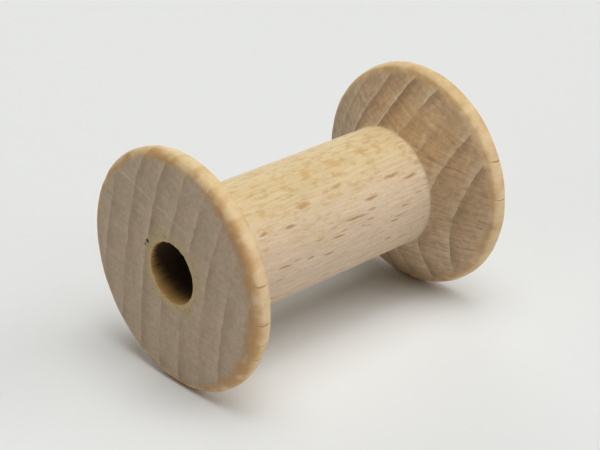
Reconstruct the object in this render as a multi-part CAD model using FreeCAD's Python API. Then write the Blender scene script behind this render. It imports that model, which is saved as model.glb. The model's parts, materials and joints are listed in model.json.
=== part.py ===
import FreeCAD, Part
import os

# A turned beech spool: two flanges bevelled on the inside, a straight barrel to wind on, and a bore right
# through, all in one piece of wood.
# Millimetres. The axis is X, +Z is up, and the origin is on the axis at mid-length.

# Driving dimensions
spool_length = 49.4         # over the two end faces
flange_diameter = 35.0      # over the rims
barrel_diameter = 18.5      # what the thread winds on
bore_diameter = 8.8         # the hole right through
rim_width = 2.8             # along the axis, from an end face to the rim's inner edge
rim_crown = 0.4             # how far both edges of a rim lie below its middle
flange_root_width = 8.2     # along the axis, from an end face to where the bevel meets the barrel
outer_edge_round = 1.2      # rounding between an end face and its rim
inner_edge_round = 0.5      # rounding between a rim and its bevel
bore_lip_round = 0.3        # rounding between an end face and the bore

# Positions that follow from them
end_x = spool_length / 2
rim_edge_r = flange_diameter / 2 - rim_crown
rim_inner_x = end_x - rim_width
root_x = end_x - flange_root_width

AXIS = FreeCAD.Vector(1, 0, 0)
ORIGIN = FreeCAD.Vector(0, 0, 0)


def outline_point(x, r):
    """A point of the half outline: x along the axis, r out from it."""
    return FreeCAD.Vector(x, 0, r)


def flange_edges(side):
    """End face, crowned rim and bevel of the flange at one end: side is -1 or +1."""
    at_bore = outline_point(side * end_x, bore_diameter / 2)
    outer = outline_point(side * end_x, rim_edge_r)
    crest = outline_point(side * (end_x - rim_width / 2), flange_diameter / 2)
    inner = outline_point(side * rim_inner_x, rim_edge_r)
    root = outline_point(side * root_x, barrel_diameter / 2)
    return [
        Part.makeLine(at_bore, outer),
        Part.Arc(outer, crest, inner).toShape(),
        Part.makeLine(inner, root),
    ]


def line_between_ends(x, r):
    """A line of the outline parallel to the axis, from -x to +x at radius r."""
    return Part.makeLine(outline_point(-x, r), outline_point(x, r))


def half_outline():
    """The closed outline that is turned round the axis."""
    barrel = line_between_ends(root_x, barrel_diameter / 2)
    bore = line_between_ends(end_x, bore_diameter / 2)
    edges = flange_edges(-1) + [barrel] + flange_edges(1) + [bore]
    return Part.Wire(Part.__sortEdges__(edges))


def ring_edges(solid, x, r):
    """The circular edges of radius r at the distance x from mid-length, one at each end."""
    found = []
    for edge in solid.Edges:
        box = edge.BoundBox
        flat_ring = box.XLength < 1e-3 and abs(box.ZMax - r) < 1e-3
        if flat_ring and abs(abs(box.Center.x) - x) < 1e-3:
            found.append(edge)
    return found


def turned_spool():
    """The outline turned a full circle, then its edges broken as the turner's tool and sanding leave them."""
    solid = Part.makeSolid(Part.Face(half_outline()).revolve(ORIGIN, AXIS, 360))
    solid = solid.makeFillet(outer_edge_round, ring_edges(solid, end_x, rim_edge_r))
    solid = solid.makeFillet(inner_edge_round, ring_edges(solid, rim_inner_x, rim_edge_r))
    return solid.makeFillet(bore_lip_round, ring_edges(solid, end_x, bore_diameter / 2))


os.makedirs("parts", exist_ok=True)
spool = turned_spool()
spool.exportStep("parts/spool.step")
print("spool valid:", spool.isValid(), "volume mm3:", round(spool.Volume, 1))
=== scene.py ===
# %% [markdown]
# # A turned beech spool
#
# This lesson makes a wooden thread spool: two flanges bevelled on the inside, a straight barrel to wind on
# and a bore, all turned from one stick of beech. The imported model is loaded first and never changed. It
# gives the spool's true size, and everything made here is measured against it, in metres.

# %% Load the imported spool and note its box
import bpy
import json
import math
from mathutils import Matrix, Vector


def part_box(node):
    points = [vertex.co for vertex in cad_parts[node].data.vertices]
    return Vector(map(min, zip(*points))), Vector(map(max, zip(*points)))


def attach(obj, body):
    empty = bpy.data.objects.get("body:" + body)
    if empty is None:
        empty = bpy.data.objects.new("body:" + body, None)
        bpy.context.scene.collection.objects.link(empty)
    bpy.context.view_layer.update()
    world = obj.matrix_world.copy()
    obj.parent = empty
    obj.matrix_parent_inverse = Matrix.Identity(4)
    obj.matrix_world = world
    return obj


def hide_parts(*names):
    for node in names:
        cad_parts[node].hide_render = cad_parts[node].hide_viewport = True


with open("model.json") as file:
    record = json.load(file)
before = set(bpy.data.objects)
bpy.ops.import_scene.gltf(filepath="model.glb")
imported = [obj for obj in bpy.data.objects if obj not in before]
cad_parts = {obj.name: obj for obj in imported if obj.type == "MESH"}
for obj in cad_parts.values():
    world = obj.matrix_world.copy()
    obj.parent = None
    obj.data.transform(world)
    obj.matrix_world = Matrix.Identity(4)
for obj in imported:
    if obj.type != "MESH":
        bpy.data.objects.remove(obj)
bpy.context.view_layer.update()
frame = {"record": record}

cad_low, cad_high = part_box("spool")
print("packed spool, low and high corner:", [round(v, 5) for v in (*cad_low, *cad_high)])

# %% [markdown]
# ## The sizes that the turner worked to
#
# The spool lies with its axis along X. Its length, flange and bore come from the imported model, so they
# can't drift away from it. The other sizes are the ones a turner would mark on the drawing: how wide the
# rim is, how far the bevel runs down to the barrel, and how much each edge is eased.

# %% Sizes in metres
MM = 0.001

end_x = cad_high[0]
rim_radius = cad_high[2]
mounts = {mount["name"]: mount for mount in frame["record"]["mounts"]}
bore_radius = mounts["bore"]["dims"]["r_mm"] * MM

barrel_radius = 9.25 * MM
rim_width = 2.8 * MM
rim_crown = 0.4 * MM
flange_root_width = 8.2 * MM
outer_edge_round = 1.2 * MM
inner_edge_round = 0.5 * MM
bore_lip_round = 0.3 * MM
print("end face at", round(end_x, 5), "rim radius", round(rim_radius, 5), "bore radius", bore_radius)

# %% [markdown]
# ## The outline
#
# On the lathe the shape is all in one line: the half outline, from the mouth of the bore up the end face,
# over the crowned rim, down the bevel and along the barrel. It could be drawn by hand as a list of points.
# It is worked out here instead, from straight runs and tangent arcs, so that a changed size keeps every
# edge smooth. Points are (x, r): along the axis, and out from it. Only the left half is worked out, and
# then mirrored.


# %% Straight runs and arcs as points
def straight_run(start, end, step):
    """Points from start to end, both included, about a step apart."""
    count = max(1, round((end - start).length / step))
    return [start.lerp(end, i / count) for i in range(count + 1)]


def arc_run(centre, start, end, step):
    """Points on the shorter arc round centre from start to end, both included, about a step apart."""
    from_centre = start - centre
    turn = (end - centre).angle_signed(from_centre)
    count = max(2, round(abs(turn) * from_centre.length / step))
    points = []
    for i in range(count + 1):
        angle = turn * i / count
        cos, sin = math.cos(angle), math.sin(angle)
        points.append(centre + Vector((from_centre.x * cos - from_centre.y * sin,
                                       from_centre.x * sin + from_centre.y * cos)))
    return points


# %% The easing between a straight side and the crowned rim
def easing_centre(side_point, side_direction, inward, rounding, crown_centre, crown_radius):
    """The centre of the arc that touches a straight side and the crown from inside."""
    start = side_point + inward * rounding - crown_centre
    along = start.dot(side_direction)
    reach = crown_radius - rounding
    travel = -along + math.sqrt(along * along - start.dot(start) + reach * reach)
    return crown_centre + start + side_direction * travel


def touch_on_crown(centre, crown_centre, crown_radius):
    """Where the easing arc meets the crown."""
    return crown_centre + (centre - crown_centre).normalized() * crown_radius


# %% The left half of the outline
FINE = 0.15 * MM
MEDIUM = 0.36 * MM
COARSE = 1.2 * MM
stained_radius = 7.0 * MM  # fine points as far out as the stain and the pits

half_rim = rim_width / 2
crown_radius = (half_rim * half_rim + rim_crown * rim_crown) / (2 * rim_crown)
crown_centre = Vector((-end_x + half_rim, rim_radius - crown_radius))
rim_inner_corner = Vector((-end_x + rim_width, rim_radius - rim_crown))
root = Vector((-end_x + flange_root_width, barrel_radius))

face_up = Vector((0, 1))
into_wood = Vector((1, 0))
outer_centre = easing_centre(Vector((-end_x, 0)), face_up, into_wood, outer_edge_round,
                             crown_centre, crown_radius)

bevel_up = (rim_inner_corner - root).normalized()
under_bevel = Vector((-bevel_up.y, bevel_up.x))
if under_bevel.x > 0:
    under_bevel = -under_bevel
inner_centre = easing_centre(root, bevel_up, under_bevel, inner_edge_round,
                             crown_centre, crown_radius)

lip_centre = Vector((-end_x + bore_lip_round, bore_radius + bore_lip_round))
lip_at_bore = Vector((lip_centre.x, bore_radius))
lip_at_face = Vector((-end_x, lip_centre.y))
face_top = Vector((-end_x, outer_centre.y))
stained_at = Vector((-end_x, stained_radius))
crown_from = touch_on_crown(outer_centre, crown_centre, crown_radius)
crown_to = touch_on_crown(inner_centre, crown_centre, crown_radius)
bevel_top = inner_centre - under_bevel * inner_edge_round

left_half = []
for run in (
    straight_run(Vector((0, bore_radius)), lip_at_bore, COARSE),
    arc_run(lip_centre, lip_at_bore, lip_at_face, FINE),
    straight_run(lip_at_face, stained_at, FINE),
    straight_run(stained_at, face_top, MEDIUM),
    arc_run(outer_centre, face_top, crown_from, FINE),
    arc_run(crown_centre, crown_from, crown_to, FINE),
    arc_run(inner_centre, crown_to, bevel_top, FINE),
    straight_run(bevel_top, root, MEDIUM),
    straight_run(root, Vector((0, barrel_radius)), 1.5 * MEDIUM),
):
    left_half += run if not left_half else run[1:]
right_half = [Vector((-p.x, p.y)) for p in reversed(left_half[1:-1])]
outline_points = left_half + right_half
print("outline:", len(outline_points), "points; crest at r =", round(max(p.y for p in outline_points), 6))

# %% [markdown]
# ## Nodes as sums
#
# Both the shape and the wood are worked out by nodes. A formula made of nodes by hand is hard to read, so
# one small class wraps a socket and gives it the usual operators: an expression such as `1 - mask * 0.3`
# then adds the Math nodes that it needs. Every other node comes from one function that takes its type, its
# settings and what goes into its sockets.


# %% A socket that can be used in sums
class Wire:
    """An output socket of a node. Each operator adds the Math node that does it."""

    def __init__(self, tree, socket):
        self.tree = tree
        self.socket = socket

    def maths(self, operation, *values):
        return add_node(self.tree, "ShaderNodeMath", {"operation": operation}, dict(enumerate(values)))

    def __add__(self, other):
        return self.maths("ADD", self, other)

    def __radd__(self, other):
        return self.maths("ADD", other, self)

    def __sub__(self, other):
        return self.maths("SUBTRACT", self, other)

    def __rsub__(self, other):
        return self.maths("SUBTRACT", other, self)

    def __mul__(self, other):
        return self.maths("MULTIPLY", self, other)

    def __rmul__(self, other):
        return self.maths("MULTIPLY", other, self)

    def __truediv__(self, other):
        return self.maths("DIVIDE", self, other)

    def __pow__(self, other):
        return self.maths("POWER", self, other)


def add_node(tree, kind, settings=None, sockets=None, output=0):
    """Adds any node and gives back one of its outputs.

    Its settings are set first, then the value or the Wire of each socket, by name or number.
    """
    node = tree.nodes.new(kind)
    for name, value in (settings or {}).items():
        setattr(node, name, value)
    for key, value in (sockets or {}).items():
        if isinstance(value, Wire):
            tree.links.new(value.socket, node.inputs[key])
        else:
            node.inputs[key].default_value = value
    return Wire(tree, node.outputs[output])


# %% Short names for the nodes used most
def vector_of(tree, x=0.0, y=0.0, z=0.0):
    """Three values as one vector."""
    return add_node(tree, "ShaderNodeCombineXYZ", sockets={0: x, 1: y, 2: z})


def parts_of(tree, vector):
    """The x, y and z of a vector."""
    first = add_node(tree, "ShaderNodeSeparateXYZ", sockets={0: vector})
    node = first.socket.node
    return [Wire(tree, node.outputs[i]) for i in range(3)]


def ease(tree, value, low, high, to_low=0.0, to_high=1.0):
    """Goes smoothly from to_low to to_high while value goes from low to high."""
    return add_node(tree, "ShaderNodeMapRange", {"interpolation_type": "SMOOTHSTEP"},
                    {"Value": value, "From Min": low, "From Max": high, "To Min": to_low, "To Max": to_high})


def noise(tree, vector, scale=1.0, detail=2.0, roughness=0.5):
    """Soft random values about 0.5, as coarse as one unit of the vector over scale."""
    return add_node(tree, "ShaderNodeTexNoise", sockets={
        "Vector": vector, "Scale": scale, "Detail": detail, "Roughness": roughness})


# %% [markdown]
# ## The lathe
#
# Turning a shape is a rule, so Geometry Nodes do it: a circle is the path, the outline is the section that
# follows it, and each point is then put at its own x and radius, at the path's angle. A Screw modifier
# would turn the outline as well. The tree is used because it also gives the surface what tool, sandpaper
# and time leave: faint turning grooves, raised grain along the barrel, a ragged lip on the bore, two small
# pits beside it and rims that aren't perfectly even. All of it goes inward from the outline, so the size
# never grows.

# %% Named inputs of the lathe
LATHE_INPUTS = (
    # name, socket type, value
    ("Steps Round", "NodeSocketInt", 310),
    ("End X", "NodeSocketFloat", end_x),
    ("Bore Radius", "NodeSocketFloat", bore_radius),
    ("Barrel Radius", "NodeSocketFloat", barrel_radius),
    ("Rim Radius", "NodeSocketFloat", rim_radius),
    ("Groove Depth", "NodeSocketFloat", 0.012 * MM),
    ("Grain Depth", "NodeSocketFloat", 0.03 * MM),
    ("Rim Wear", "NodeSocketFloat", 0.07 * MM),
    ("Lip Wear", "NodeSocketFloat", 0.11 * MM),
    ("Pit Depth", "NodeSocketFloat", 0.35 * MM),
    ("Sanded Edge", "NodeSocketFloat", 0.18 * MM),
    ("Wood", "NodeSocketMaterial", None),
)

lathe = bpy.data.node_groups.new("lathe", "GeometryNodeTree")
lathe.interface.new_socket("Geometry", in_out="INPUT", socket_type="NodeSocketGeometry")
lathe.interface.new_socket("Geometry", in_out="OUTPUT", socket_type="NodeSocketGeometry")
for name, kind, _ in LATHE_INPUTS:
    lathe.interface.new_socket(name, in_out="INPUT", socket_type=kind)
print("lathe inputs:", ", ".join(name for name, _, _ in LATHE_INPUTS))

group_in = lathe.nodes.new("NodeGroupInput")
given = {socket.name: Wire(lathe, socket) for socket in group_in.outputs if socket.name}


# %% Revolve the outline
def captured(geometry, name, value):
    """Keeps a value with the geometry's points: gives back the geometry and the kept value."""
    node = lathe.nodes.new("GeometryNodeCaptureAttribute")
    node.capture_items.new("FLOAT", name)
    lathe.links.new(geometry.socket, node.inputs["Geometry"])
    lathe.links.new(value.socket, node.inputs[1])
    return Wire(lathe, node.outputs["Geometry"]), Wire(lathe, node.outputs[1])


position = add_node(lathe, "GeometryNodeInputPosition")
outline_x, outline_r, _ = parts_of(lathe, position)
section, kept_x = captured(given["Geometry"], "x", outline_x)
section, kept_r = captured(section, "r", outline_r)

circle = add_node(lathe, "GeometryNodeCurvePrimitiveCircle", {"mode": "RADIUS"},
                  {"Resolution": given["Steps Round"], "Radius": 1.0})
step = add_node(lathe, "GeometryNodeInputIndex")
path, angle = captured(circle, "angle", step * (2 * math.pi) / given["Steps Round"])

swept = add_node(lathe, "GeometryNodeCurveToMesh", sockets={"Curve": path, "Profile Curve": section})
swept = add_node(lathe, "GeometryNodeFlipFaces", sockets={"Mesh": swept})
cos = angle.maths("COSINE", angle)
sin = angle.maths("SINE", angle)

# %% [markdown]
# The end faces were flattened on a sander, which fell away a little before it reached the rim, and more on
# one side than on the other. So near the rim each face dips, by less than the thickness of a playing card.

# %% Sand the edge of each face and set the points
SANDED_WIDTH = 3.2 * MM
SANDED_SHARE = 0.8  # of the full depth, on the average of all sides
SANDED_LEAN = 0.4  # more than that on the -Y side, and less on the +Y side

from_middle = kept_x.maths("ABSOLUTE", kept_x)
at_end = ease(lathe, from_middle, end_x - 1.3 * MM, end_x - 0.3 * MM)
dip = ease(lathe, kept_r, rim_radius - SANDED_WIDTH, rim_radius - 0.9 * MM)
dip = dip * (SANDED_SHARE - cos * SANDED_LEAN)
sanded_x = kept_x - kept_x.maths("SIGN", kept_x) * at_end * dip * given["Sanded Edge"]
turned = add_node(lathe, "GeometryNodeSetPosition", sockets={
    "Geometry": swept, "Position": vector_of(lathe, sanded_x, kept_r * cos, kept_r * sin)})
print("each face dips over its outer", round(SANDED_WIDTH / MM, 2), "mm")

# %% [markdown]
# ### What tool, sandpaper and handling leave
#
# Each mark is a depth in metres, worked out from where a point is on the spool, and the depths are added
# up. They are far smaller than the sizes on the drawing, and are felt by a fingertip more than seen.

# %% Depth of the marks
x_mm = kept_x * 1000
r_mm = kept_r * 1000
across_y = r_mm * cos
across_z = r_mm * sin

groove = noise(lathe, vector_of(lathe, x_mm, r_mm), scale=2.2, detail=1.0)
grooves = ease(lathe, groove, 0.35, 0.65) * given["Groove Depth"]

on_barrel = ease(lathe, kept_r, rim_radius, barrel_radius, 0.3, 1.0)
fibre_place = vector_of(lathe, x_mm * 0.12, across_y * 1.6, across_z * 1.6)
fibres = noise(lathe, fibre_place, detail=3.0, roughness=0.65)
raised_grain = ease(lathe, fibres, 0.3, 0.7) * on_barrel * given["Grain Depth"]

on_rim = ease(lathe, kept_r, rim_radius - 1.6 * MM, rim_radius - 0.4 * MM)
bumps = noise(lathe, vector_of(lathe, x_mm * 0.25, across_y * 0.22, across_z * 0.22), detail=3.0)
rim_wear = ease(lathe, bumps, 0.35, 0.7) * on_rim * given["Rim Wear"]

near_lip = ease(lathe, kept_r, bore_radius + 0.9 * MM, bore_radius + 0.1 * MM)
near_mouth = ease(lathe, from_middle, end_x - 1.2 * MM, end_x - 0.2 * MM)
torn = noise(lathe, vector_of(lathe, x_mm * 0.6, across_y * 1.4, across_z * 1.4), detail=2.0)
lip_wear = ease(lathe, torn, 0.4, 0.75) * near_lip * near_mouth * given["Lip Wear"]


def pit(y_mm, z_mm, size_mm):
    """A small hole in the left end face, y_mm and z_mm from the axis and about size_mm across."""
    here = vector_of(lathe, x_mm, across_y, across_z)
    away = add_node(lathe, "ShaderNodeVectorMath", {"operation": "DISTANCE"},
                    {0: here, 1: (-end_x / MM, y_mm, z_mm)}, output="Value")
    return ease(lathe, away, size_mm / 2, size_mm / 6)


PITS = (
    # y, z, size, share of the full depth
    (5.0, 3.1, 0.8, 1.0),
    (5.45, 2.5, 0.55, 0.6),
)
pits = sum(pit(pit_y, pit_z, pit_size) * pit_share for pit_y, pit_z, pit_size, pit_share in PITS)
pits = pits * given["Pit Depth"]

depth = grooves + raised_grain + rim_wear + lip_wear + pits

# %% Push the marks in along the surface's normal, and finish the tree
normal = add_node(lathe, "GeometryNodeInputNormal")
inward = add_node(lathe, "ShaderNodeVectorMath", {"operation": "SCALE"}, {0: normal, "Scale": 0 - depth})
marked = add_node(lathe, "GeometryNodeSetPosition", sockets={"Geometry": turned, "Offset": inward})
smooth = add_node(lathe, "GeometryNodeSetShadeSmooth", sockets={"Geometry": marked, "Shade Smooth": True})
realized = add_node(lathe, "GeometryNodeRealizeInstances", sockets={"Geometry": smooth})
finished = add_node(lathe, "GeometryNodeSetMaterial", sockets={
    "Geometry": realized, "Material": given["Wood"]})
group_out = lathe.nodes.new("NodeGroupOutput")
lathe.links.new(finished.socket, group_out.inputs["Geometry"])
print("lathe tree:", len(lathe.nodes), "nodes")

# %% [markdown]
# ## The beech
#
# A turned spool shows its wood from every side at once: end grain on the faces, side grain on the barrel,
# and everything between on the bevels. A picture wrapped round it would never line up, so the wood is
# solid: each point's colour comes from where it is in the stick. Three numbers say that: its distance from
# the tree's pith, which lies well outside the stick, how far round the pith it is, and x, along the fibres.

# %% Where a point is in the tree, in millimetres
PITH_Y = -78.0
PITH_Z = -18.0
STICK_FROM_PITH = math.hypot(PITH_Y, PITH_Z)
GRAIN_SLOPE = 0.028  # the stick wasn't sawn quite along the fibres
WANDER_OUTWARD = 0.9
WANDER_ROUND = 0.8

beech = bpy.data.materials.new("beech")
beech.use_nodes = True
wood = beech.node_tree
wood.nodes.clear()

coordinates = add_node(wood, "ShaderNodeTexCoord", output="Object")
in_mm = add_node(wood, "ShaderNodeMapping", {"vector_type": "POINT"},
                 {"Vector": coordinates, "Scale": (1000, 1000, 1000)})
x, y, z = parts_of(wood, in_mm)
from_axis = (y * y + z * z) ** 0.5
from_end = end_x / MM - x.maths("ABSOLUTE", x)

wander = noise(wood, vector_of(wood, x * 0.04, y * 0.3, z * 0.3), detail=3.0)
from_pith_y = y - PITH_Y
from_pith_z = z - PITH_Z
outward = (from_pith_y * from_pith_y + from_pith_z * from_pith_z) ** 0.5
outward = outward - STICK_FROM_PITH + x * GRAIN_SLOPE + (wander - 0.5) * WANDER_OUTWARD
around_pith = outward.maths("ARCTAN2", from_pith_z, from_pith_y) * STICK_FROM_PITH
around_pith = around_pith + (wander - 0.5) * WANDER_ROUND
print("the pith is", round(STICK_FROM_PITH, 1), "mm from the axis of the spool")

# %% [markdown]
# ### How the wood is cut
#
# Which way the surface is cut decides how the same wood looks. The object-space normal tells: along x it is
# end grain, greyer and darker; across x it is side grain. Side grain that faces the pith shows the ends of
# the rays, and side grain at right angles to that shows their flat sides.

# %% Masks for end grain, side grain and the bevel between
normal_x, normal_y, normal_z = parts_of(wood, add_node(wood, "ShaderNodeTexCoord", output="Normal"))
facing_end = normal_x.maths("ABSOLUTE", normal_x)
end_grain = ease(wood, facing_end, 0.35, 0.8)
on_face = ease(wood, facing_end, 0.88, 0.97)
to_pith_y = PITH_Y / STICK_FROM_PITH
to_pith_z = PITH_Z / STICK_FROM_PITH
facing_pith = normal_y * to_pith_y + normal_z * to_pith_z
facing_pith = facing_pith.maths("ABSOLUTE", facing_pith)
print("the pith is", round(math.degrees(math.atan2(-PITH_Z, -PITH_Y))), "degrees below the -Y side")

# %% [markdown]
# Hands and sandpaper have worked on the edges. There the grey of the end grain turns brown, and then gives
# way to gold with amber spots in it. The gold is painted highlight: a lighter colour where the rounded rims
# catch the light. The brown is blotchy, and it reaches further in on the side towards the pith. Each boundary
# is a distance from the axis, and noise is added to it so that it isn't a true circle.

# %% The golden edge
BROWN_FROM = 15.8
GOLD_FROM = 15.9
GOLD_FULL = 17.0

blotch = noise(wood, vector_of(wood, x * 0.2, y * 0.45, z * 0.45), detail=3.0, roughness=0.6)
rim_spots = noise(wood, vector_of(wood, x * 0.30, y * 0.42 + 5.0, z * 0.42), detail=2.0, roughness=0.45)
pith_side = ease(wood, y * -1, 2.0, 16.5)
edge_at = from_axis + (blotch - 0.5) * 1.6
brown_start = BROWN_FROM - pith_side * on_face
edge_brown = ease(wood, edge_at - brown_start, 0.0, 1.1) * ease(wood, edge_at, 17.6, 16.6)
edge_brown = edge_brown * ease(wood, rim_spots, 0.38, 0.62, 0.30, 1.0)
edge = ease(wood, edge_at, GOLD_FROM, GOLD_FULL)
rim_amber = ease(wood, from_end + (blotch - 0.5) * 1.4, 2.1, 0.3, 0.25, 1.0)
rim_amber = rim_amber * ease(wood, rim_spots, 0.42, 0.60, 0.12, 1.0) * edge
end_grain = end_grain * (1 - edge)
side_grain = 1 - end_grain
print("the gold begins", round(rim_radius / MM - GOLD_FROM, 1), "mm in from the crest of the rim")

# %% [markdown]
# ### Growth rings
#
# Going outward through one year, beech darkens slowly and stops at a sharp line, where the next year's pale
# wood begins. A saw-tooth of the distance from the pith gives that: the year's fraction, from 0 to 1. The
# rings aren't equally strong: one hard year stands out, and noise makes the others come and go.

# %% Rings
RING_PITCH = 4.15
FIRST_RING = 0.76
HARD_YEAR_AT = 3.6

years = (outward - FIRST_RING) / RING_PITCH
year = years.maths("FRACT", years)
late_wood = ease(wood, year, 0.35, 0.9)
ring_line = ease(wood, year, 0.58, 0.97)
early_line = ease(wood, year, 0.24, 0.01)
early_wood = ease(wood, year, 0.60, 0.05)
ring_mood = noise(wood, vector_of(wood, years * 0.9, around_pith * 0.14, x * 0.02), detail=2.0)
from_hard_year = outward - HARD_YEAR_AT
hard_year = ease(wood, from_hard_year.maths("ABSOLUTE", from_hard_year), 3.2, 0.6)
ring_mood = ease(wood, ring_mood, 0.32, 0.68, 0.20, 1.2) + hard_year * 0.70
print("a flange is cut from about", round(2 * rim_radius / MM / RING_PITCH), "years of growth")

# %% [markdown]
# ### Rays
#
# Beech is known by its rays: thin sheets that run from the pith outward. Cut across their ends, on the side
# of the barrel that faces the pith, they are brown spindles a few millimetres long. Cut along their flat,
# on top, they are soft orange flecks. On end grain they are fine lines. Cells that are thin round the pith,
# taller along the fibres and long outward give all three.


# %% Sheets of rays
def rays(thickness, height, length, widest, narrowest, seed):
    """1 in the middle of a ray and 0 between rays, for cells of this size in mm.

    A ray fills its cell up to the widest or the narrowest share, and the random shade of its cell says which.
    """
    cells = vector_of(wood, around_pith / thickness + seed, x / height + seed, outward / length + seed)
    distance = add_node(wood, "ShaderNodeTexVoronoi", {"feature": "F1", "voronoi_dimensions": "3D"},
                        {"Vector": cells, "Scale": 1.0, "Randomness": 1.0}, output="Distance")
    shade = parts_of(wood, Wire(wood, distance.socket.node.outputs["Color"]))[0]
    reach = narrowest + shade * (widest - narrowest)
    return ease(wood, distance / reach, 1.0, 0.45) * ease(wood, shade, 0.0, 1.0, 0.35, 1.0)


# thickness, height, length, widest, narrowest, seed
fine_rays = rays(0.75, 3.6, 9.0, 0.30, 0.16, 11.0)
short_rays = rays(1.5, 6.5, 12.0, 0.19, 0.08, 3.0)
end_rays = rays(2.6, 40.0, 30.0, 0.085, 0.03, 7.0)
print("beech so far:", len(wood.nodes), "nodes")

# %% [markdown]
# The boldest rays are placed one by one, because they are what the eye goes to first. Each is an ellipsoid in
# the same three directions: around the pith, along the fibres and outward.

# %% Bold rays
BOLD_RAYS = (
    # x, distance from the axis, degrees up from the side towards the pith, length, thickness, reach outward
    (1.8, 9.25, 17.5, 5.0, 0.40, 2.4),
    (5.2, 9.25, 29, 3.0, 0.46, 1.6),
    (10.4, 9.25, 40, 3.4, 0.32, 1.2),
    (13.7, 9.25, 34, 3.0, 0.32, 1.2),
    (-6.3, 9.25, 45, 2.8, 0.32, 1.1),
    (-10.0, 9.25, 32, 2.4, 0.34, 1.4),
    (-1.9, 9.25, 7, 2.8, 0.42, 2.4),
    (-12.2, 9.25, 0, 2.6, 0.38, 2.4),
    (-3.9, 9.25, -5, 2.2, 0.36, 2.4),
    (0.4, 9.25, 49, 2.6, 0.30, 1.0),
    (-14.6, 9.25, 34, 2.0, 0.30, 1.4),
    (8.2, 9.25, -17, 1.4, 0.38, 2.4),
    (-7.4, 9.25, -1.5, 1.8, 0.32, 2.4),
    (9.1, 9.25, -0.5, 2.0, 0.32, 2.4),
    (11.3, 9.25, 11, 2.0, 0.28, 2.0),
    (-2.7, 9.25, 71.5, 1.7, 0.60, 2.6),
    (2.8, 9.25, 73.5, 2.8, 0.60, 2.2),
    (8.5, 9.25, 71.5, 1.1, 0.50, 2.4),
    (11.5, 9.25, 71.5, 1.3, 0.50, 2.4),
    (-23.2, 17.5, -15, 2.6, 0.26, 2.4),
    (-23.3, 17.5, -4.5, 2.8, 0.34, 2.4),
    (-23.4, 17.5, 14, 2.8, 0.28, 2.0),
    (-23.2, 17.4, -24, 2.0, 0.26, 2.0),
    (23.2, 17.4, 24, 2.6, 0.26, 2.0),
    (23.2, 17.4, 5, 2.2, 0.24, 2.0),
)

feather = noise(wood, vector_of(wood, around_pith * 5.0, x * 0.5, outward * 0.8), detail=2.0)
ragged = noise(wood, vector_of(wood, around_pith * 0.5, x * 0.5, outward * 0.5), detail=1.0)
ray_place = vector_of(wood,
                      around_pith + (ragged - 0.5) * 0.35,
                      x + (feather - 0.5) * 0.9,
                      outward + (ragged - 0.5) * 0.9)


def bold_ray(ray_x, ray_r, degrees, length, thickness, reach):
    """1 inside one bold ray and 0 outside it."""
    ray_y = -ray_r * math.cos(math.radians(degrees))
    ray_z = ray_r * math.sin(math.radians(degrees))
    ray_around = math.atan2(ray_z - PITH_Z, ray_y - PITH_Y) * STICK_FROM_PITH
    ray_outward = math.hypot(ray_y - PITH_Y, ray_z - PITH_Z) - STICK_FROM_PITH + ray_x * GRAIN_SLOPE
    centre = (ray_around, ray_x, ray_outward)
    stretch = (2 / thickness, 2 / length, 2 / reach)
    away = add_node(wood, "ShaderNodeVectorMath", {"operation": "SUBTRACT"}, {0: ray_place, 1: centre})
    away = add_node(wood, "ShaderNodeVectorMath", {"operation": "MULTIPLY"}, {0: away, 1: stretch})
    away = add_node(wood, "ShaderNodeVectorMath", {"operation": "LENGTH"}, {0: away}, output="Value")
    return ease(wood, away, 1.25, 0.3)


bold_rays = bold_ray(*BOLD_RAYS[0])
for ray in BOLD_RAYS[1:]:
    bold_rays = bold_rays.maths("MAXIMUM", bold_rays, bold_ray(*ray))
print("bold rays:", len(BOLD_RAYS))

# %% [markdown]
# On the ends a few rays are wide enough to follow right across the rings. The palest runs above the bore,
# and the dark ones show only where the bevel cuts the wood at a slant.

# %% Rays that cross the end grain
# degrees round the pith, outward from, outward to
PALE_CROSSING = (
    (18.7, -3.0, 14.5),
)
DARK_CROSSING = (
    (19.6, -11.0, -4.0),
    (22.1, -7.5, -4.2),
    (17.9, -16.0, -12.8),
    (14.3, -17.0, -13.8),
    (9.5, -16.5, -9.0),
)


def crossing_ray(degrees, start, stop):
    """1 along one thin line that runs outward from start to stop, in mm from the axis of the stick."""
    off_line = around_pith - math.radians(degrees) * STICK_FROM_PITH
    off_line = off_line.maths("ABSOLUTE", off_line)
    lengthwise = ease(wood, outward, start, start + 1.5) * ease(wood, outward, stop, stop - 1.5)
    return ease(wood, off_line, 0.26, 0.06) * lengthwise * ease(wood, ragged, 0.35, 0.6, 0.45, 1.0)


pale_crossing = sum(crossing_ray(*ray) for ray in PALE_CROSSING)
dark_crossing = sum(crossing_ray(*ray) for ray in DARK_CROSSING)
print("rays that cross the end grain:", len(PALE_CROSSING), "pale and", len(DARK_CROSSING), "dark")

# %% [markdown]
# ### Fibres and pores
#
# Between the rays the wood is made of long fibres and open pores. Noise that is squeezed along x gives
# both, and noise squeezed outward gives the faint combing that crosses the rings.

# %% Fine figure
striae = noise(wood, vector_of(wood, around_pith * 2.0, x * 0.35, outward * 0.10), detail=2.0, roughness=0.6)
curl = noise(wood, vector_of(wood, around_pith * 1.5, x * 0.50, outward * 1.1), detail=4.0, roughness=0.65)
fibre = noise(wood, vector_of(wood, y * 3.2, x * 0.14, z * 3.2), detail=3.0, roughness=0.65)
pores = noise(wood, vector_of(wood, y * 6.0, x * 0.6, z * 6.0), detail=2.0, roughness=0.6)
mottle = noise(wood, vector_of(wood, x * 0.4, y * 1.5, z * 1.5), detail=3.0, roughness=0.7)
tone = noise(wood, vector_of(wood, x * 0.05, y * 0.10, z * 0.10), detail=2.0)
print("beech so far:", len(wood.nodes), "nodes")

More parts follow.
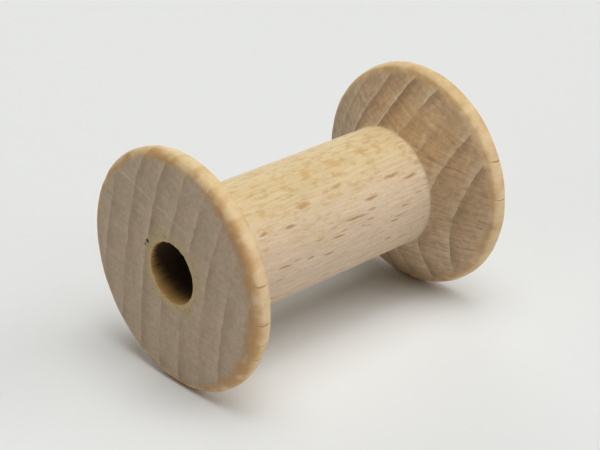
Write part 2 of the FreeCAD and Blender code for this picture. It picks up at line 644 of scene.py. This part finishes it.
# %% [markdown]
# ### Colour
#
# Side grain is cream, yellower on top and pinker towards the pith. End grain is a greyer brown, and olive
# where the bevel slants through it. Rays darken the side grain, and the worn edge lies over both.


# %% Mixing colours
def mix_colour(tree, factor, first, second):
    """The first colour where factor is 0, and the second where it is 1."""
    return add_node(tree, "ShaderNodeMix", {"data_type": "RGBA", "clamp_factor": True},
                    {0: factor, 6: first, 7: second}, output=2)


def shaded(tree, colour, shade):
    """A colour made lighter or darker."""
    return add_node(tree, "ShaderNodeVectorMath", {"operation": "SCALE"}, {0: colour, "Scale": shade})


CREAM = (0.662, 0.508, 0.268, 1)
PINKISH = (0.640, 0.495, 0.365, 1)
CURL = (0.535, 0.335, 0.125, 1)
RAY_BROWN = (0.350, 0.185, 0.072, 1)
FLECK_ORANGE = (0.600, 0.360, 0.130, 1)
FACE_GREY = (0.465, 0.352, 0.246, 1)
BEVEL_OLIVE = (0.465, 0.315, 0.182, 1)
BEVEL_AMBER = (0.500, 0.312, 0.150, 1)
BEVEL_PALE = (0.515, 0.368, 0.232, 1)
LATE_BROWN = (0.230, 0.145, 0.075, 1)
LINE_PALE = (0.700, 0.570, 0.400, 1)

# %% Side grain
FINE_RAY_SHARE = 0.46
SHORT_RAY_SHARE = 0.55
BOLD_RAY_SHARE = 0.80

pinkness = ease(wood, y * -0.085 - z * 0.08 + (tone - 0.5) * 0.8, -0.75, 0.95)
side = mix_colour(wood, pinkness, CREAM, PINKISH)
side = mix_colour(wood, ease(wood, curl, 0.48, 0.66) * (0.74 - pinkness * 0.42), side, CURL)
side = mix_colour(wood, late_wood * 0.10, side, CURL)
ray_colour = mix_colour(wood, ease(wood, facing_pith, 0.15, 0.75), FLECK_ORANGE, RAY_BROWN)
side = mix_colour(wood, fine_rays * FINE_RAY_SHARE, side, ray_colour)
side = mix_colour(wood, short_rays * SHORT_RAY_SHARE, side, ray_colour)
side = mix_colour(wood, bold_rays * BOLD_RAY_SHARE, side, ray_colour)
side = shaded(wood, side, 1 + (fibre - 0.5) * 0.52 + (pores - 0.5) * 0.28)

# %% End grain
amber = ease(wood, z + (blotch - 0.5) * 8.0, 0.0, 9.0)
amber = amber * ease(wood, from_axis + (blotch - 0.5) * 6.0, 17.5, 11.0)
bevel = mix_colour(wood, amber, BEVEL_OLIVE, BEVEL_AMBER)
# painted light: the bevel is painted paler on its +Y side, to stand in for light falling there; it is also
# paler and greyer towards its bottom
painted_light_side_and_grey_bottom = ease(wood, y + (tone - 0.5) * 6.0, 0.0, 9.0)
painted_light_side_and_grey_bottom = painted_light_side_and_grey_bottom.maths("MAXIMUM", painted_light_side_and_grey_bottom, ease(wood, z + (tone - 0.5) * 6.0, -2.0, -12.0))
bevel = mix_colour(wood, painted_light_side_and_grey_bottom, bevel, BEVEL_PALE)
end = mix_colour(wood, on_face, bevel, FACE_GREY)
slant = 1 - on_face
dark_ring = (late_wood * 0.17 + ring_line * 0.19) * ring_mood * (0.85 + slant * 0.35)
pale_ring = (early_wood * 0.12 + early_line * 0.16) * ring_mood * (0.80 + slant * 0.60)
end = mix_colour(wood, dark_ring, end, LATE_BROWN)
end = mix_colour(wood, pale_ring, end, LINE_PALE)
end = mix_colour(wood, end_rays * (0.25 - slant * 0.1), end, LINE_PALE)
end = mix_colour(wood, pale_crossing * (0.36 - slant * 0.10), end, LINE_PALE)
end = mix_colour(wood, dark_crossing * slant * 0.5, end, LATE_BROWN)
grainy = (striae - 0.5) * (0.20 + slant * 0.45)
grainy = grainy + (mottle - 0.5) * (0.50 + slant * 0.30) + (blotch - 0.5) * 0.30
end = shaded(wood, end, 1 + grainy)

# %% The golden edge and the two together
EDGE_HIGHLIGHT_GOLD = (0.780, 0.585, 0.312, 1)
EDGE_BROWN = (0.470, 0.260, 0.100, 1)
RIM_AMBER = (0.590, 0.348, 0.145, 1)
HIGHLIGHT_SHARE = 0.60
AMBER_SHARE = 0.95
BROWN_SHARE = 0.80

# painted highlight: the rims are painted a lighter gold to stand in for the light that their crowns catch
side = mix_colour(wood, edge * HIGHLIGHT_SHARE, side, EDGE_HIGHLIGHT_GOLD)
colour = mix_colour(wood, end_grain, side, end)
colour = mix_colour(wood, rim_amber * AMBER_SHARE, colour, RIM_AMBER)
colour = mix_colour(wood, edge_brown * BROWN_SHARE, colour, EDGE_BROWN)
colour = mix_colour(wood, edge * bold_rays * BOLD_RAY_SHARE, colour, RAY_BROWN)

# %% [markdown]
# ### The bore
#
# The drill leaves rough wood. Inside the bore the colour is painted light and shade: golden at the mouth and
# further in along the lower wall, where it is lit, and nearly black a few millimetres in, where shade falls.
# Round the mouth the face is stained in an uneven ring, and two small pits beside it are painted black
# inside, as painted shade.

# %% Bore, stain and pits
CRUMB_BROWN = (0.260, 0.185, 0.100, 1)
BORE_LIT_GOLD = (0.495, 0.285, 0.090, 1)
SHADE_BLACK = (0.055, 0.028, 0.013, 1)
LIP_GOLD = (0.560, 0.415, 0.200, 1)
STAIN_OLIVE = (0.480, 0.372, 0.190, 1)
STAIN_FROM = 6.8  # mm from the axis, where it starts
STAIN_FULL = 5.2  # and where it is complete

crumbs = noise(wood, vector_of(wood, x * 2.0, y * 2.2, z * 2.2), detail=2.0, roughness=0.7)
stain = ease(wood, from_axis + (mottle - 0.5) * 4.5 + (blotch - 0.5) * 3.0, STAIN_FROM, STAIN_FULL)
colour = mix_colour(wood, stain * 0.6, colour, STAIN_OLIVE)
lip = ease(wood, from_axis + (crumbs - 0.5) * 4.0, 5.3, 4.8)
colour = mix_colour(wood, lip * 0.7, colour, LIP_GOLD)
dark_crumbs = ease(wood, crumbs, 0.47, 0.37) * ease(wood, from_axis, STAIN_FROM, STAIN_FULL) * on_face
colour = mix_colour(wood, dark_crumbs * 0.55, colour, CRUMB_BROWN)
bore_mm = bore_radius / MM
in_bore = ease(wood, from_axis, bore_mm + 0.22, bore_mm + 0.04)
# painted light and shade: the bore's wall is gold where it is lit, furthest along its lower side, and black
# deeper in
lit_reach = ease(wood, z * -1, -1.5, bore_mm, 1.2, 4.2)
bore_shade = ease(wood, (from_end + (fibre - 0.5) * 1.6 + (blotch - 0.5) * 1.5) / lit_reach, -0.1, 1.0)
colour = mix_colour(wood, in_bore, colour, mix_colour(wood, bore_shade, BORE_LIT_GOLD, SHADE_BLACK))

left_end = ease(wood, x, 0.0, -1.0)
for pit_y, pit_z, pit_size, pit_share in PITS:
    off_pit = add_node(wood, "ShaderNodeVectorMath", {"operation": "DISTANCE"},
                       {0: vector_of(wood, 0.0, y, z), 1: (0.0, pit_y, pit_z)}, output="Value")
    # painted shade: the pits are painted black inside
    pit_shade = ease(wood, off_pit, pit_size * 0.5, pit_size * 0.25) * left_end
    colour = mix_colour(wood, pit_shade * pit_share, colour, SHADE_BLACK)

# %% The finished material
SANDED_ROUGHNESS = 0.62
END_ROUGHER = 0.12
BORE_ROUGHER = 0.45

roughness = SANDED_ROUGHNESS + (fibre - 0.5) * 0.25 + end_grain * END_ROUGHER + in_bore * BORE_ROUGHER
height_mm = ((fibre - 0.5) * 0.05 + (pores - 0.5) * 0.04 - bold_rays * side_grain * 0.03
             - curl * side_grain * 0.04 + (striae - 0.5) * 0.03 + (mottle - 0.5) * end_grain * 0.03)
bump = add_node(wood, "ShaderNodeBump", sockets={"Strength": 0.6, "Distance": MM, "Height": height_mm},
                output="Normal")
surface = add_node(wood, "ShaderNodeBsdfPrincipled", sockets={
    "Base Color": colour, "Roughness": roughness, "Normal": bump, "Specular IOR Level": 0.35})
material_out = wood.nodes.new("ShaderNodeOutputMaterial")
wood.links.new(surface.socket, material_out.inputs["Surface"])
print("beech:", len(wood.nodes), "nodes")

# %% [markdown]
# ## Turn the spool
#
# The outline becomes a curve object, the lathe goes on it as a modifier, and its inputs are set by their
# identifiers. The result is then taken as a plain mesh, which is the spool that is kept.

# %% Run the lathe and keep the mesh
outline_curve = bpy.data.curves.new("outline", "CURVE")
outline_curve.dimensions = "3D"
spline = outline_curve.splines.new("POLY")
spline.points.add(len(outline_points) - 1)
for spline_point, outline_point in zip(spline.points, outline_points):
    spline_point.co = (outline_point.x, outline_point.y, 0, 1)
spline.use_cyclic_u = True
outline = bpy.data.objects.new("outline", outline_curve)
bpy.context.collection.objects.link(outline)

lathe_run = outline.modifiers.new("lathe", "NODES")
lathe_run.node_group = lathe
identifiers = {item.name: item.identifier for item in lathe.interface.items_tree if item.in_out == "INPUT"}
for name, _, value in LATHE_INPUTS:
    lathe_run[identifiers[name]] = beech if name == "Wood" else value

depsgraph = bpy.context.evaluated_depsgraph_get()
spool_mesh = bpy.data.meshes.new_from_object(outline.evaluated_get(depsgraph), depsgraph=depsgraph)
spool_mesh.name = "turned_spool"
spool = bpy.data.objects.new("turned_spool", spool_mesh)
bpy.context.collection.objects.link(spool)
bpy.data.objects.remove(outline)


# %% Check that the faces point out of the wood
def signed_volume(mesh):
    """The volume inside a closed mesh: negative if its faces point inward."""
    mesh.calc_loop_triangles()
    total = 0.0
    for triangle in mesh.loop_triangles:
        a, b, c = (mesh.vertices[i].co for i in triangle.vertices)
        total += a.dot(b.cross(c)) / 6
    return total


volume_mm3 = signed_volume(spool_mesh) / MM ** 3
print("spool:", len(spool_mesh.polygons), "faces, volume", round(volume_mm3, 1), "mm3")
print("the faces point out of the wood:", volume_mm3 > 0)

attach(spool, "root")
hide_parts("spool")

# %% [markdown]
# ## The table
#
# The spool lies on a plain, pale sheet. It is a flat plane that is large enough to fill the view, and it
# keeps the spool's shadow.

# %% Floor
FLOOR_HALF = 3.0
FLOOR_COLOUR = (0.79, 0.80, 0.785, 1)

floor_mesh = bpy.data.meshes.new("floor")
floor_z = cad_low[2]
floor_corners = [(-FLOOR_HALF, -FLOOR_HALF, floor_z), (FLOOR_HALF, -FLOOR_HALF, floor_z),
                 (FLOOR_HALF, FLOOR_HALF, floor_z), (-FLOOR_HALF, FLOOR_HALF, floor_z)]
floor_mesh.from_pydata(floor_corners, [], [(0, 1, 2, 3)])
floor = bpy.data.objects.new("floor", floor_mesh)
bpy.context.collection.objects.link(floor)
paper = bpy.data.materials.new("paper")
paper.use_nodes = True
paper_surface = paper.node_tree.nodes["Principled BSDF"]
paper_surface.inputs["Base Color"].default_value = FLOOR_COLOUR
paper_surface.inputs["Roughness"].default_value = 0.9
paper_surface.inputs["Specular IOR Level"].default_value = 0.0
floor_mesh.materials.append(paper)
print("floor at z =", round(floor_z, 5))

# %% [markdown]
# ## Light
#
# Soft light from overhead and from high in front does most of the work, and weaker lamps fill in from the
# sides and from low behind. A sun lamp with a wide angle is as soft as a large lamp overhead, and lights
# the sheet evenly all the way to its edge. The strengths below weren't set by hand. A least-squares solver,
# run apart from this lesson, fitted them to brightness readings. They are its answers to within about 0.01,
# with the two lamps that it asked for low behind merged into one and a very weak ninth left out.


# %% Lamps
SPREAD = 40  # degrees across, where the sun itself is half a degree


def soft_lamp(name, azimuth, elevation, strength):
    """A sun lamp that shines from this direction, in degrees; azimuth 0 is along +X and 90 along +Y."""
    lamp_data = bpy.data.lights.new(name, "SUN")
    lamp_data.energy = strength
    lamp_data.angle = math.radians(SPREAD)
    lamp = bpy.data.objects.new(name, lamp_data)
    around, up = math.radians(azimuth), math.radians(elevation)
    towards_lamp = Vector((math.cos(up) * math.cos(around), math.cos(up) * math.sin(around), math.sin(up)))
    lamp.rotation_euler = towards_lamp.to_track_quat("Z", "Y").to_euler()
    bpy.context.collection.objects.link(lamp)


LAMPS = (
    # name, azimuth, elevation, strength
    ("overhead", 0, 90, 1.07),
    ("high_front", 270, 65, 1.19),
    ("high_left", 180, 65, 0.19),
    ("right", 315, 40, 0.49),
    ("low_right", 315, 15, 0.40),
    ("low_front", 270, 15, 0.17),
    ("low_left", 180, 15, 0.27),
    ("low_behind", 52, 15, 0.84),
)
for name, azimuth, elevation, strength in LAMPS:
    soft_lamp(name, azimuth, elevation, strength)
print("lamps:", len(LAMPS), "with a total strength of", round(sum(lamp[3] for lamp in LAMPS), 2))

# %% [markdown]
# Beyond the sheet there is only a pale room. It is as pale as the sheet where the camera, or a shiny
# surface, looks at it, and it gives next to no light of its own.

# %% The room
ROOM_LIGHT = 0.02
ROOM_COLOUR = (0.78, 0.797, 0.789, 1)

room = bpy.data.worlds.new("room")
room.use_nodes = True
room_tree = room.node_tree
room_tree.nodes.clear()
ray_kinds = room_tree.nodes.new("ShaderNodeLightPath").outputs
seen = Wire(room_tree, ray_kinds["Is Camera Ray"])
for kind_of_ray in ("Is Glossy Ray", "Is Transmission Ray"):
    seen = seen.maths("MAXIMUM", seen, Wire(room_tree, ray_kinds[kind_of_ray]))
backdrop = add_node(room_tree, "ShaderNodeBackground", sockets={
    "Color": ROOM_COLOUR, "Strength": ROOM_LIGHT + seen * (1 - ROOM_LIGHT)})
room_out = room_tree.nodes.new("ShaderNodeOutputWorld")
room_tree.links.new(backdrop.socket, room_out.inputs["Surface"])
bpy.context.scene.world = room
print("the room gives", ROOM_LIGHT, "of the light that it seems to")

# %% [markdown]
# ## Camera
#
# A long lens from the front left, a little above: the near end face and the inside of the far flange both
# show.

# %% Camera
CAMERA_AZIMUTH = -133.0
CAMERA_ELEVATION = 26.39
CAMERA_DISTANCE = 0.229
LENS_MM = 95.3
SENSOR_MM = 36
AIM = Vector((-0.00076, 0.00015, -0.00083))

camera_data = bpy.data.cameras.new("camera")
camera_data.lens = LENS_MM
camera_data.sensor_width = SENSOR_MM
camera_data.clip_start = 0.01
camera = bpy.data.objects.new("camera", camera_data)
around, up = math.radians(CAMERA_AZIMUTH), math.radians(CAMERA_ELEVATION)
from_aim = Vector((math.cos(up) * math.cos(around), math.cos(up) * math.sin(around), math.sin(up)))
camera.location = AIM + from_aim * CAMERA_DISTANCE
camera.rotation_euler = from_aim.to_track_quat("Z", "Y").to_euler()
bpy.context.collection.objects.link(camera)
bpy.context.scene.camera = camera
print("camera at", [round(v, 4) for v in camera.location], "and the view is",
      round(math.degrees(camera_data.angle), 1), "degrees wide")

bpy.context.scene.view_settings.view_transform = "Standard"
